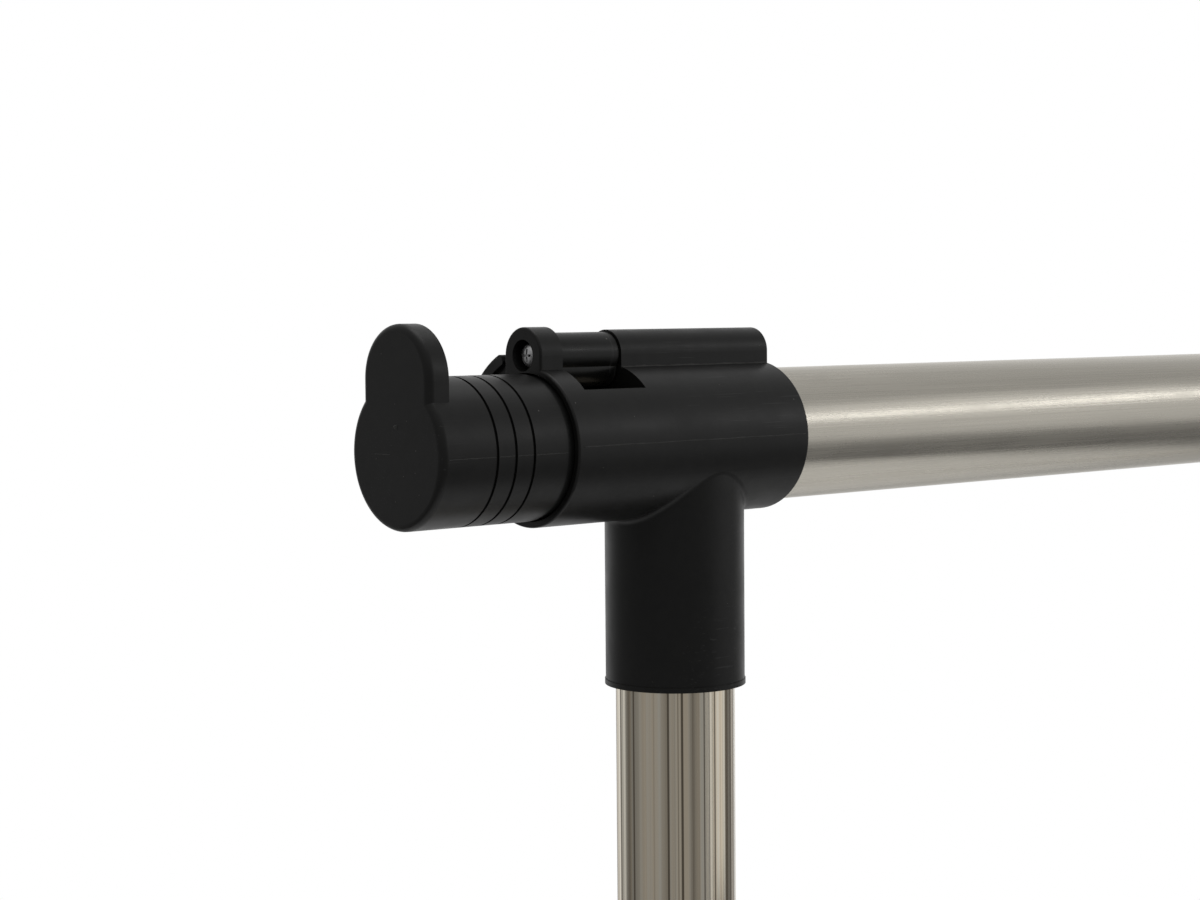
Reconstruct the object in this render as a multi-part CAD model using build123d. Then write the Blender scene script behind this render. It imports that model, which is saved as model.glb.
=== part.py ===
from build123d import *
import os

# A height-adjustable valet stand: a clothes rail on two telescopic posts and a castored base.
#
# Frame: origin on the floor under the middle of the stand, +Z up, +X along the rail to the right,
# -Y towards the person who hangs clothes on it. Millimetres.
#
# Three tube sizes make the whole frame. The hanging rail, the lower posts and the feet are the wide
# tube. The upper posts and the cross tube between the feet are the middle one, and the two arms that
# pull out of the rail's ends are the slim one. Each telescopic joint goes through the same moulded
# clamp: a barrel with a hinge on top, and a cam lever that nips the inner tube through a window.

os.makedirs("parts", exist_ok=True)

# Driving dimensions of the stand
POST_SPACING = 800.0
RAIL_HEIGHT = 1420.0
FOOT_TUBE_LENGTH = 370.0
WIDE_R = 16.0
NARROW_R = 14.0
ARM_R = 12.5
TUBE_WALL = 0.8

# Fits, all radial
TUBE_SEAT_GAP = 0.05
SLIDE_GAP = 0.15
SCREW_GAP = 0.02
PIVOT_GAP = 0.06
SIDE_GAP = 0.3
CAM_GAP = 0.35

# The clamp: its own frame has the tube along X, the mouth at -X, the hinge above and the lever behind
BARREL_R = 17.9
MOUTH_X = -44.3
TAIL_X = 27.0
WINDOW_X0 = -38.0
WINDOW_X1 = -20.0
WINDOW_Z = 12.8
WINDOW_HALF_Y = 12.6
TUBE_STOP_X = -8.0
CAP_BORE_R = 16.5
COLLAR_MOUTH_R = 14.5
HINGE_Y = 1.2
HINGE_Z = 20.3
EAR_R = 6.3
BOSS_R = 5.5
RIM_ROUND = 0.5

# The hinge screw, a small pan head sunk into the ear
HINGE_SHANK_R = 1.5
HINGE_HEAD_R = 2.45
HINGE_HEAD_HIGH = 2.0
HINGE_HEAD_SUNK = 1.1
HINGE_RECESS_R = 3.55
HINGE_SCREW_END_X = 5.0

# The cam lever
KNUCKLE_R = 5.0
CAM_R = 4.2
LEVER_X0 = -44.2
LEVER_X1 = -12.0
LEVER_OUT_R = 22.6
LEVER_IN_R = 20.2
LEVER_WALL_R = 18.5
LEVER_WALL = 2.0
LEVER_WALL_INSET = 1.2
LEVER_TOP_DEG = 66.0
LEVER_ROUND = 0.7
LEVER_END_DEG = -25.0
LIP_DEG = -32.0
LIP_R = 29.0
WALL_LAP = 0.5
# The arm that joins the knuckle to the channel, as (y, z) corners
LINK_OUTLINE = ((2.6, 25.1), (12.2, 19.0), (10.9, 15.1), (4.7, 16.8), (2.6, 20.3))

# The tee's post socket
SOCKET_R = 16.35
SOCKET_BOTTOM_Z = -57.3
SOCKET_FLOOR_Z = -19.3
SOCKET_LIP = 0.2
SOCKET_LIP_HIGH = 1.2
NECK_ROUND = 2.0

# The end cap of a pull-out arm
CAP_R = 16.35
CAP_FACE_X = -80.0
CAP_END_X = -39.0
CAP_FACE_THICK = 4.0
CAP_NECK_X = -46.0
STOP_HALF_WIDTH = 11.8
STOP_TOP_Z = 27.7
STOP_THICK = 5.4
CAP_FACE_ROUND = 1.6
CAP_NECK_R = 16.0
GROOVE_X = (-65.4, -60.4, -55.4)
GROOVE_WIDE = 0.7
GROOVE_DEEP = 0.5

# The pull-out arms, measured in the clamp's frame
ARM_END_X = 300.0
GLIDE_R = 14.9
GLIDE_LONG = 12.0
GLIDE_SPIGOT = 15.0

# The posts and height clamps
COLLAR_Z = 752.0
UPPER_POST_BOTTOM_Z = 520.0

# The base
FITTING_R = 18.5
FITTING_HALF_LENGTH = 40.0
POST_SOCKET_HIGH = 70.0
CROSS_SOCKET_LONG = 60.0
SOCKET_STOP = 20.0
END_FITTING_GRIP = 30.0
STEM_FROM_TUBE_END = 18.0
END_FITTING_TAIL = 20.0
STEM_BOSS_R = 13.0
STEM_BOSS_DROP = 8.0
STEM_BOSS_ROUND = 1.0
END_FITTING_ROUND = 9.0
POST_TOP_GAP = 0.2

# Castors: own frame has the stem on Z and the floor at z = 0
CASTOR_TOP_Z = 59.0
WHEEL_R = 25.0
WHEEL_IN_Y = 6.8
WHEEL_WIDE = 9.2
TRAIL = 16.0
WEB_HALF = 6.0
WEB_R = 20.0
HOOD_Z = 27.0
HOOD_ROUND = 1.2
STEM_PIN_DROP = 24.0
HOOD_IN_R = 26.2
HOOD_OUT_R = 28.4
HOOD_HALF_WIDTH = 17.0
STEM_R = 5.5
STEM_PIN_R = 4.0
STEM_FLANGE_R = 8.5
STEM_FLANGE_HIGH = 1.5
STEM_PRESSED_LONG = 24.0
STEM_END_GAP = 0.5
AXLE_R = 3.0
AXLE_HALF = 15.2
AXLE_ROUND = 0.4
TREAD_ROUND = 1.6
DISH_DEEP = 2.0
DISH_R = 18.0
HUB_R = 7.0
SWIVEL_BOSS_R = 8.5
PEDAL_X = 47.5
PEDAL_Z = 33.0
PEDAL_BAR_R = 3.2
PEDAL_PIN_R = 1.8
PEDAL_HALF = 11.0
PEDAL_LONG = 15.0
PEDAL_PIN_OUT = 2.6
PEDAL_LUG = 3.0
PEDAL_LUG_R = 3.6
PEDAL_LUG_REACH = 7.9
PEDAL_CORNER = 4.4
TOE_REACH = 7.2
TOE_R = 1.6
TOE_Y = (7.4, 10.6)
TOE_REST_DEG = 219.0

# Assembly screws
SET_SHANK_R = 1.9
SET_HEAD_R = 3.6
SET_HEAD_HIGH = 2.2
CROSS_SLOT = 0.7
CROSS_SLOT_SHARE = 1.15
HEAD_ROUND_SHARE = 0.45
SCREW_FLAT = 0.4
SCREW_BITE = 4.0
RAIL_SCREW_BITE = 1.0
TEE_POST_SCREW_Z = -40.0
TEE_RAIL_SCREW_X = 10.0
# The post's screw sits below the lowest place of the upper post's glide
FOOT_POST_SCREW_Z = 32.0
FOOT_TUBE_SCREW_Y = 28.0
FOOT_CROSS_SCREW_X = 45.0
END_SCREW_Y = 18.0

HALF = POST_SPACING / 2
FOOT_Z = CASTOR_TOP_Z + STEM_BOSS_DROP + FITTING_R
STEM_Y = FOOT_TUBE_LENGTH / 2 + STEM_FROM_TUBE_END
TUBE_SEAT_R = WIDE_R + TUBE_SEAT_GAP
NARROW_SEAT_R = NARROW_R + TUBE_SEAT_GAP


def along_x(r, x0, x1, y=0.0, z=0.0):
    """A round bar on X."""
    return Pos((x0 + x1) / 2, y, z) * Rot(0, 90, 0) * Cylinder(r, x1 - x0)


def along_y(r, y0, y1, x=0.0, z=0.0):
    """A round bar on Y."""
    return Pos(x, (y0 + y1) / 2, z) * Rot(90, 0, 0) * Cylinder(r, y1 - y0)


def along_z(r, z0, z1, x=0.0, y=0.0):
    """A round bar on Z."""
    return Pos(x, y, (z0 + z1) / 2) * Cylinder(r, z1 - z0)


def block(x, y, z):
    """A box from its lowest and highest coordinate on each axis."""
    centre = Pos((x[0] + x[1]) / 2, (y[0] + y[1]) / 2, (z[0] + z[1]) / 2)
    return centre * Box(x[1] - x[0], y[1] - y[0], z[1] - z[0])


def tube(bar, r, x0, x1, y=0.0, z=0.0):
    """A thin tube: bar is one of the three functions above."""
    return bar(r, x0, x1, y, z) - bar(r - TUBE_WALL, x0 - 1, x1 + 1, y, z)


def ring_sector(r_in, r_out, low_deg, high_deg, x0, x1):
    """Part of a ring about X, between two angles measured from +Y towards +Z."""
    band = make_face(band_outline(low_deg, high_deg, r_in, r_out))
    return extrude(Plane.YZ.offset(x0) * band, x1 - x0)


def band_outline(low_deg, high_deg, r_in, r_out):
    """The closed outline of a band about the origin."""
    inner = CenterArc((0, 0), r_in, low_deg, high_deg - low_deg)
    outer = CenterArc((0, 0), r_out, low_deg, high_deg - low_deg)
    return [inner, outer, Line(inner @ 0, outer @ 0), Line(inner @ 1, outer @ 1)]


def screw(head_r, head_high, shank_r, length):
    """A pan-head screw on Z: the head stands above z = 0 and the shank goes down from it."""
    head = along_z(head_r, 0, head_high)
    head = fillet(head.edges().group_by(Axis.Z)[-1], head_high * HEAD_ROUND_SHARE)
    slot_long = head_r * CROSS_SLOT_SHARE
    slot = Box(slot_long, CROSS_SLOT, head_high) + Box(CROSS_SLOT, slot_long, head_high)
    return head - Pos(0, 0, head_high) * slot + along_z(shank_r, -length, 0)


def set_screw(at, outward, length):
    """An assembly screw with its head on a surface at a point, driven in against the outward direction."""
    seat = Plane(origin=at, z_dir=outward)
    return seat.location * screw(SET_HEAD_R, SET_HEAD_HIGH, SET_SHANK_R, length)


def set_hole(at, outward, length):
    """The hole that a set_screw goes through, with a flat for its head."""
    seat = Plane(origin=at, z_dir=outward)
    drilled = along_z(SET_SHANK_R + SCREW_GAP, -length - 1, 1)
    return seat.location * (drilled + along_z(SET_HEAD_R + SIDE_GAP, 0, SET_HEAD_HIGH * 2))


def hinge_block(r, x0, x1):
    """One stationary knuckle of the clamp's hinge, standing on the barrel."""
    side = (HINGE_Y - r, HINGE_Y + r)
    return along_x(r, x0, x1, HINGE_Y, HINGE_Z) + block((x0, x1), side, (WINDOW_Z, HINGE_Z))


def clamp_body():
    """The outside of the clamp, before its bores: a barrel with an ear and a long boss on top."""
    barrel = along_x(BARREL_R, MOUTH_X, TAIL_X)
    return barrel + hinge_block(EAR_R, MOUTH_X, WINDOW_X0) + hinge_block(BOSS_R, WINDOW_X1, TAIL_X)


def bored(body, mouth_r, inner_r):
    """Cuts the clamp's tube bores, window, screw recess and screw hole out of its outside."""
    body -= along_x(mouth_r, MOUTH_X - 1, WINDOW_X1)
    body -= along_x(inner_r + SLIDE_GAP, WINDOW_X1 - 1, TUBE_STOP_X + 1)
    body -= along_x(TUBE_SEAT_R, TUBE_STOP_X, TAIL_X + 1)
    body -= block((WINDOW_X0, WINDOW_X1), (-WINDOW_HALF_Y, WINDOW_HALF_Y), (WINDOW_Z, HINGE_Z * 2))
    body -= along_x(HINGE_RECESS_R, MOUTH_X - 1, under_head_x(), HINGE_Y, HINGE_Z)
    return body - along_x(HINGE_SHANK_R + SCREW_GAP, MOUTH_X, HINGE_SCREW_END_X + 1, HINGE_Y, HINGE_Z)


def edges_at(body, x):
    """The edges that lie in the plane at x."""
    return body.edges().filter_by_position(Axis.X, x - 0.01, x + 0.01)


def rounded_ends(body):
    """Rounds the moulding's outline at the mouth and at the tail."""
    body = fillet(edges_at(body, MOUTH_X), RIM_ROUND)
    return fillet(edges_at(body, TAIL_X), RIM_ROUND)


def tee_fitting():
    """The clamp that joins a post to the rail, with the post socket under it."""
    joined = rounded_ends(clamp_body()) + along_z(SOCKET_R, SOCKET_BOTTOM_Z, 0)
    neck = joined.edges().filter_by(GeomType.BSPLINE).filter_by_position(Axis.Z, -BARREL_R - 1, -1)
    joined = fillet(neck, NECK_ROUND)
    joined += along_z(SOCKET_R + SOCKET_LIP, SOCKET_BOTTOM_Z, SOCKET_BOTTOM_Z + SOCKET_LIP_HIGH)
    body = bored(joined, CAP_BORE_R, ARM_R)
    body -= along_z(NARROW_SEAT_R, SOCKET_BOTTOM_Z - 1, SOCKET_FLOOR_Z)
    for at, outward, length in tee_screw_places():
        body -= set_hole(at, outward, length)
    return body


def tee_screw_places():
    """Where a tee is screwed to its post and to the rail, from behind."""
    post = ((0, SOCKET_R - SCREW_FLAT, TEE_POST_SCREW_Z), (0, 1, 0), SOCKET_R - NARROW_R + SCREW_BITE)
    rail = ((TEE_RAIL_SCREW_X, BARREL_R - SCREW_FLAT, 0), (0, 1, 0), BARREL_R - WIDE_R + RAIL_SCREW_BITE)
    return post, rail


def hinge_screw():
    """The screw that is the clamp's hinge pin."""
    made = screw(HINGE_HEAD_R, HINGE_HEAD_HIGH, HINGE_SHANK_R, HINGE_SCREW_END_X - under_head_x())
    return Plane(origin=(under_head_x(), HINGE_Y, HINGE_Z), z_dir=(-1, 0, 0)).location * made


def under_head_x():
    """Where the hinge screw's head sits in its recess."""
    return MOUTH_X + HINGE_HEAD_SUNK + HINGE_HEAD_HIGH


def cam_lever(inner_r):
    """The lever: a knuckle with a cam, and a curved channel that lies along the barrel's back."""
    x0 = WINDOW_X0 + SIDE_GAP
    x1 = WINDOW_X1 - SIDE_GAP
    knuckle = along_x(KNUCKLE_R, x0, x1, HINGE_Y, HINGE_Z)
    cam = along_x(CAM_R, x0, x1, HINGE_Y, inner_r + CAM_GAP + CAM_R)
    skin = ring_sector(LEVER_IN_R, LEVER_OUT_R, LEVER_END_DEG, LEVER_TOP_DEG, LEVER_X0, LEVER_X1)
    skin += ring_sector(LEVER_IN_R, LIP_R, LIP_DEG, LEVER_END_DEG, LEVER_X0, LEVER_X1)
    skin = fillet(skin.edges().filter_by(Axis.X), LEVER_ROUND)
    lever = knuckle + cam + skin
    left_wall = LEVER_X0 + LEVER_WALL_INSET
    right_wall = LEVER_X1 - LEVER_WALL_INSET - LEVER_WALL
    wall_out_r = LEVER_IN_R + WALL_LAP
    for x in (left_wall, (left_wall + right_wall) / 2, right_wall):
        lever += ring_sector(LEVER_WALL_R, wall_out_r, LEVER_END_DEG, LEVER_TOP_DEG, x, x + LEVER_WALL)
    link = Polyline(*LINK_OUTLINE, close=True)
    lever += extrude(Plane.YZ.offset(x0) * make_face(link), x1 - x0)
    return lever - along_x(HINGE_SHANK_R + PIVOT_GAP, x0 - 1, x1 + 1, HINGE_Y, HINGE_Z)


def end_cap():
    """The cap on a pull-out arm: a grooved cup with a raised stop that keeps hangers on."""
    cup = along_x(CAP_R, CAP_FACE_X, CAP_NECK_X)
    cup += along_x(CAP_NECK_R, CAP_NECK_X, CAP_END_X)
    stop_centre = STOP_TOP_Z - STOP_HALF_WIDTH
    stop_end = CAP_FACE_X + STOP_THICK
    stop = along_x(STOP_HALF_WIDTH, CAP_FACE_X, stop_end, 0, stop_centre)
    stop += block((CAP_FACE_X, stop_end), (-STOP_HALF_WIDTH, STOP_HALF_WIDTH), (0, stop_centre))
    cap = cup + stop
    cap = fillet(edges_at(cap, CAP_FACE_X), CAP_FACE_ROUND)
    for x in GROOVE_X:
        half = GROOVE_WIDE / 2
        cap -= along_x(CAP_R + 1, x - half, x + half) - along_x(CAP_R - GROOVE_DEEP, x - half, x + half)
    return cap - along_x(ARM_R + SCREW_GAP, CAP_FACE_X + CAP_FACE_THICK, CAP_END_X + 1)


def arm_tube():
    """The pull-out arm, a slim tube that runs inside the rail."""
    return tube(along_x, ARM_R, CAP_FACE_X + CAP_FACE_THICK, ARM_END_X)


def tube_glide(bar, tube_r, end, way):
    """A plug on an inner tube's end that guides it in the wide tube."""
    spigot_r = tube_r - TUBE_WALL - TUBE_SEAT_GAP
    head = sorted((end, end + way * GLIDE_LONG))
    spigot = sorted((end, end - way * GLIDE_SPIGOT))
    return bar(GLIDE_R, *head) + bar(spigot_r, *spigot)


def foot_fitting():
    """The centre fitting of a foot: a sleeve on the foot tube, a post socket and a cross-tube socket."""
    body = along_y(FITTING_R, -FITTING_HALF_LENGTH, FITTING_HALF_LENGTH)
    body += along_z(FITTING_R, 0, POST_SOCKET_HIGH) + along_x(SOCKET_R, 0, CROSS_SOCKET_LONG)
    body -= along_y(TUBE_SEAT_R, -FITTING_HALF_LENGTH - 1, FITTING_HALF_LENGTH + 1)
    body -= along_z(TUBE_SEAT_R, SOCKET_STOP, POST_SOCKET_HIGH + 1)
    body -= along_x(NARROW_SEAT_R, SOCKET_STOP, CROSS_SOCKET_LONG + 1)
    for at, outward, length in foot_screw_places():
        body -= set_hole(at, outward, length)
    return body


def foot_screw_places():
    """Where a foot fitting is screwed to its post, its foot tube and the cross tube."""
    seat = FITTING_R - SCREW_FLAT
    post = ((-seat, 0, FOOT_POST_SCREW_Z), (-1, 0, 0), FITTING_R - WIDE_R + SCREW_BITE)
    foot = ((0, FOOT_TUBE_SCREW_Y, -seat), (0, 0, -1), FITTING_R - WIDE_R + SCREW_BITE)
    cross_seat = SOCKET_R - SCREW_FLAT
    cross = ((FOOT_CROSS_SCREW_X, 0, -cross_seat), (0, 0, -1), SOCKET_R - NARROW_R + SCREW_BITE)
    return post, foot, cross


def end_fitting():
    """The fitting on a foot tube's front end, with the castor's stem under it; the tube goes in along +Y."""
    tail = -STEM_FROM_TUBE_END - END_FITTING_TAIL
    body = along_y(FITTING_R, tail, END_FITTING_GRIP)
    body = fillet(body.edges().group_by(Axis.Y)[0], END_FITTING_ROUND)
    body = fillet(body.edges().group_by(Axis.Y)[-1], RIM_ROUND)
    boss = along_z(STEM_BOSS_R, CASTOR_TOP_Z - FOOT_Z, 0, 0, -STEM_FROM_TUBE_END)
    body += fillet(boss.edges().group_by(Axis.Z)[0], STEM_BOSS_ROUND)
    body -= along_y(TUBE_SEAT_R, 0, END_FITTING_GRIP + 1)
    stem_hole = along_z(STEM_R + SCREW_GAP, CASTOR_TOP_Z - FOOT_Z - 1, stem_top_z() - FOOT_Z)
    body -= Pos(0, -STEM_FROM_TUBE_END, 0) * stem_hole
    return body - set_hole(*end_screw_place())


def end_screw_place():
    """Where an end fitting is screwed to its foot tube, from below."""
    return (0, END_SCREW_Y, SCREW_FLAT - FITTING_R), (0, 0, -1), FITTING_R - WIDE_R + SCREW_BITE


def stem_top_z():
    """The top of the hole that the stem is pressed into."""
    return CASTOR_TOP_Z + STEM_PRESSED_LONG


def castor_stem():
    """The steel stem: its top is pressed into the end fitting and the castor turns on its lower pin."""
    stem = along_z(STEM_R, CASTOR_TOP_Z, stem_top_z() - STEM_END_GAP)
    stem += along_z(STEM_FLANGE_R, CASTOR_TOP_Z - STEM_FLANGE_HIGH, CASTOR_TOP_Z)
    return stem + along_z(STEM_PIN_R, CASTOR_TOP_Z - STEM_PIN_DROP, CASTOR_TOP_Z - STEM_FLANGE_HIGH)


def castor_frame(braked):
    """The castor's plastic frame: a swivel boss, a web between the wheels and a hood over them."""
    width = (-HOOD_HALF_WIDTH, HOOD_HALF_WIDTH)
    upper_half = block((-HOOD_OUT_R, TRAIL + HOOD_OUT_R + 1), width, (HOOD_Z, CASTOR_TOP_Z))
    shell = along_y(HOOD_OUT_R, *width, TRAIL, WHEEL_R) & upper_half
    shell = fillet(shell.edges().filter_by(GeomType.CIRCLE), HOOD_ROUND)
    frame = shell + along_z(SWIVEL_BOSS_R, HOOD_Z, CASTOR_TOP_Z - SIDE_GAP - STEM_FLANGE_HIGH)
    frame += block((-SWIVEL_BOSS_R, TRAIL), (-WEB_HALF, WEB_HALF), (WHEEL_R, WHEEL_R + WEB_R))
    if braked:
        for side in (-1, 1):
            frame += pedal_lug(side)
    for side in (-1, 1):
        wheel_room = sorted((side * WEB_HALF, side * HOOD_HALF_WIDTH * 2))
        frame -= along_y(HOOD_IN_R, *wheel_room, TRAIL, WHEEL_R)
    frame += along_y(WEB_R, -WEB_HALF, WEB_HALF, TRAIL, WHEEL_R)
    if braked:
        frame -= pedal_room()
    frame -= along_z(STEM_PIN_R + PIVOT_GAP, CASTOR_TOP_Z - STEM_PIN_DROP - STEM_END_GAP, CASTOR_TOP_Z)
    return frame - along_y(AXLE_R + SCREW_GAP, -HOOD_HALF_WIDTH, HOOD_HALF_WIDTH, TRAIL, WHEEL_R)


def pedal_lug(side):
    """One of the two lugs behind the hood that hold the pedal's pins."""
    width = sorted((side * (PEDAL_HALF + SIDE_GAP), side * (PEDAL_HALF + PEDAL_LUG)))
    arm = block((PEDAL_X - PEDAL_LUG_REACH, PEDAL_X), width, (PEDAL_Z - PEDAL_LUG_R, PEDAL_Z + PEDAL_LUG_R))
    lug = along_y(PEDAL_LUG_R, *width, PEDAL_X, PEDAL_Z) + arm
    return lug - along_y(PEDAL_PIN_R + PIVOT_GAP, *width, PEDAL_X, PEDAL_Z)


def pedal_room():
    """The notch at the back of the hood in which the pedal's bar and toes turn."""
    half = PEDAL_HALF + SIDE_GAP
    return along_y(TOE_REACH + SIDE_GAP, -half, half, PEDAL_X, PEDAL_Z)


def castor_wheels():
    """The two wheels of a castor, each with a rounded tread and a dished outer face."""
    wheels = []
    for side in (-1, 1):
        span = sorted((side * WHEEL_IN_Y, side * (WHEEL_IN_Y + WHEEL_WIDE)))
        wheel = along_y(WHEEL_R, *span, TRAIL, WHEEL_R)
        wheel = fillet(wheel.edges(), TREAD_ROUND)
        outer_y = WHEEL_IN_Y + WHEEL_WIDE
        dish = sorted((side * (outer_y - DISH_DEEP), side * (outer_y + 1)))
        wheel -= along_y(DISH_R, *dish, TRAIL, WHEEL_R) - along_y(HUB_R, *dish, TRAIL, WHEEL_R)
        wheels.append(wheel - along_y(AXLE_R + PIVOT_GAP, span[0] - 1, span[1] + 1, TRAIL, WHEEL_R))
    return Compound(wheels)


def castor_axle():
    """The steel axle of a castor."""
    axle = along_y(AXLE_R, -AXLE_HALF, AXLE_HALF, TRAIL, WHEEL_R)
    return fillet(axle.edges(), AXLE_ROUND)


def brake_pedal():
    """The foot pedal behind a front castor's wheels: pins, bar, plate and the toes that stop the treads."""
    bar = along_y(PEDAL_BAR_R, -PEDAL_HALF, PEDAL_HALF, PEDAL_X, PEDAL_Z)
    pin_half = PEDAL_HALF + PEDAL_PIN_OUT
    bar += along_y(PEDAL_PIN_R, -pin_half, pin_half, PEDAL_X, PEDAL_Z)
    width = (-PEDAL_HALF, PEDAL_HALF)
    plate = block((PEDAL_X, PEDAL_X + PEDAL_LONG), width, (PEDAL_Z, PEDAL_Z + PEDAL_BAR_R))
    plate = fillet(plate.edges().filter_by(Axis.Z).group_by(Axis.X)[-1], PEDAL_CORNER)
    pedal = bar + plate
    for side in (-1, 1):
        toe_width = sorted((side * TOE_Y[0], side * TOE_Y[1]))
        toe = block((0, TOE_REACH - TOE_R), toe_width, (-TOE_R, TOE_R))
        toe += along_y(TOE_R, *toe_width, TOE_REACH - TOE_R)
        pedal += Pos(PEDAL_X, 0, PEDAL_Z) * Rot(0, -TOE_REST_DEG, 0) * toe
    return pedal


def write(name, shape):
    """Writes one node."""
    export_step(shape, f"parts/{name}.step")


def on_left_tee(shape):
    """From the clamp's frame to the left tee's place."""
    return Pos(-HALF, 0, RAIL_HEIGHT) * shape


def on_left_collar(shape):
    """From the clamp's frame to the left height clamp: mouth up, hinge outwards, lever in front."""
    return Plane(origin=(-HALF, 0, COLLAR_Z), x_dir=(0, 0, -1), z_dir=(-1, 0, 0)).location * shape


def mirrored(shape):
    """The right-hand twin of a left-hand piece."""
    return mirror(shape, Plane.YZ)


def write_pair(name, left):
    """Writes a left-hand piece and its right-hand twin as two nodes."""
    write(f"left_{name}", left)
    write(f"right_{name}", mirrored(left))


def write_both(name, left):
    """Writes the same pieces of both sides as one node."""
    write(name, Compound([*left.solids(), *mirrored(left).solids()]))


def drilled(shape, places, move):
    """Takes the holes of some screws out of a tube."""
    for at, outward, length in places:
        shape -= move(set_hole(at, outward, length))
    return shape


def build_top():
    """The part that rises: the rail, the tees, the upper posts, the pull-out arms and their levers."""
    tee_places = tee_screw_places()
    write_pair("tee_fitting", on_left_tee(tee_fitting()))
    rail_end = -HALF + TUBE_STOP_X
    rail = Pos(0, 0, RAIL_HEIGHT) * tube(along_x, WIDE_R, rail_end, -rail_end)
    rail = drilled(rail, tee_places[1:], on_left_tee)
    write("rail_tube", mirrored(drilled(mirrored(rail), tee_places[1:], on_left_tee)))
    post = tube(along_z, NARROW_R, UPPER_POST_BOTTOM_Z, RAIL_HEIGHT + SOCKET_FLOOR_Z - POST_TOP_GAP, -HALF)
    write_pair("upper_post", drilled(post, tee_places[:1], on_left_tee))
    glide = Pos(-HALF, 0, 0) * tube_glide(along_z, NARROW_R, UPPER_POST_BOTTOM_Z, -1)
    write_both("upper_post_glides", Compound([glide.solid()]))
    write_both("tee_screws", Compound([on_left_tee(set_screw(*p)).solid() for p in tee_places]))
    write_both("tee_hinge_screws", Compound([on_left_tee(hinge_screw()).solid()]))
    write_pair("tee_lever", on_left_tee(cam_lever(ARM_R)))
    write_pair("arm_cap", on_left_tee(end_cap()))
    write_pair("arm_tube", on_left_tee(arm_tube()))
    write_pair("arm_glide", on_left_tee(tube_glide(along_x, ARM_R, ARM_END_X, 1)))


def build_collars():
    """The height clamps on the lower posts."""
    clamp = bored(rounded_ends(clamp_body()), COLLAR_MOUTH_R, NARROW_R)
    write_pair("height_clamp", on_left_collar(clamp))
    write_pair("height_lever", on_left_collar(cam_lever(NARROW_R)))
    write_both("height_hinge_screws", Compound([on_left_collar(hinge_screw()).solid()]))


def build_base():
    """The lower posts, the two feet and the tube between them."""
    at_foot = Pos(-HALF, 0, FOOT_Z)
    post_place, foot_place, cross_place = foot_screw_places()

    def place(shape):
        return at_foot * shape

    write_pair("foot_fitting", at_foot * foot_fitting())
    post = tube(along_z, WIDE_R, FOOT_Z + SOCKET_STOP, COLLAR_Z - TUBE_STOP_X, -HALF)
    write_pair("lower_post", drilled(post, [post_place], place))
    end = -HALF + SOCKET_STOP
    cross = Pos(0, 0, FOOT_Z) * tube(along_x, NARROW_R, end, -end)
    cross = drilled(cross, [cross_place], place)
    write("cross_tube", mirrored(drilled(mirrored(cross), [cross_place], place)))
    screws = [place(set_screw(*p)).solid() for p in foot_screw_places()]
    write_both("foot_fitting_screws", Compound(screws))

    half = FOOT_TUBE_LENGTH / 2
    foot = tube(along_y, WIDE_R, -half, half, -HALF, FOOT_Z)
    foot = drilled(foot, [foot_place], place)
    end_screws = []
    for label, turn in (("front", 0), ("back", 180)):
        move = Pos(-HALF, 0, FOOT_Z) * Rot(0, 0, turn) * Pos(0, -half, 0)
        write(f"{label}_left_end_fitting", move * end_fitting())
        write(f"{label}_right_end_fitting", mirrored(move * end_fitting()))
        foot -= move * set_hole(*end_screw_place())
        end_screws.append((move * set_screw(*end_screw_place())).solid())
    write_pair("foot_tube", foot)
    write_both("end_fitting_screws", Compound(end_screws))


def build_castors():
    """Four twin-wheel castors, all trailing to the right; the front two have brake pedals."""
    stems = []
    for label, y, braked in (("front", -STEM_Y, True), ("back", STEM_Y, False)):
        for side, x in (("left", -HALF), ("right", HALF)):
            at = Pos(x, y, 0)
            write(f"{label}_{side}_castor_frame", at * castor_frame(braked))
            write(f"{label}_{side}_castor_wheels", at * castor_wheels())
            write(f"{label}_{side}_castor_axle", at * castor_axle())
            if braked:
                write(f"{label}_{side}_brake_pedal", at * brake_pedal())
            stems.append((at * castor_stem()).solid())
    write("castor_stems", Compound(stems))


build_top()
build_collars()
build_base()
build_castors()
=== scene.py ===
import math

import bmesh
import bpy
from bpy.props import FloatProperty, FloatVectorProperty, IntProperty, PointerProperty
from mathutils import Matrix, Vector


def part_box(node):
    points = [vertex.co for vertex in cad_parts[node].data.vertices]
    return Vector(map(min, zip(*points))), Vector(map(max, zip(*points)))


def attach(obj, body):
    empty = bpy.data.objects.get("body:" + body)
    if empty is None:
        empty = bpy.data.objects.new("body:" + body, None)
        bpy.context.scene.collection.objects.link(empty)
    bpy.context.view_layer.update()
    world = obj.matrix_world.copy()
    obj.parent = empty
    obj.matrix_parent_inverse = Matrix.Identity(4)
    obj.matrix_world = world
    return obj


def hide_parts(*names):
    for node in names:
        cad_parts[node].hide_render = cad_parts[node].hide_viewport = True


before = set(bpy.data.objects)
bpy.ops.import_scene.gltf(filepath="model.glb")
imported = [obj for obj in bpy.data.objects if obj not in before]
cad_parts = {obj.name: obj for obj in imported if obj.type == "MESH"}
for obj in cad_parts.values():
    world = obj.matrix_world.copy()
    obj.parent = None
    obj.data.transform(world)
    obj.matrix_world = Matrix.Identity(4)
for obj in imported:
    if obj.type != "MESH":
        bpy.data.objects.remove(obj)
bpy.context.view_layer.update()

bl_info = {
    "name": "Rolling Valet Stand",
    "version": (1, 0, 0),
    "blender": (4, 5, 0),
    "location": "View3D > Sidebar > Valet Stand",
    "description": "Builds the finished surfaces of a rolling valet stand around its frame",
    "category": "Object",
}

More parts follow.
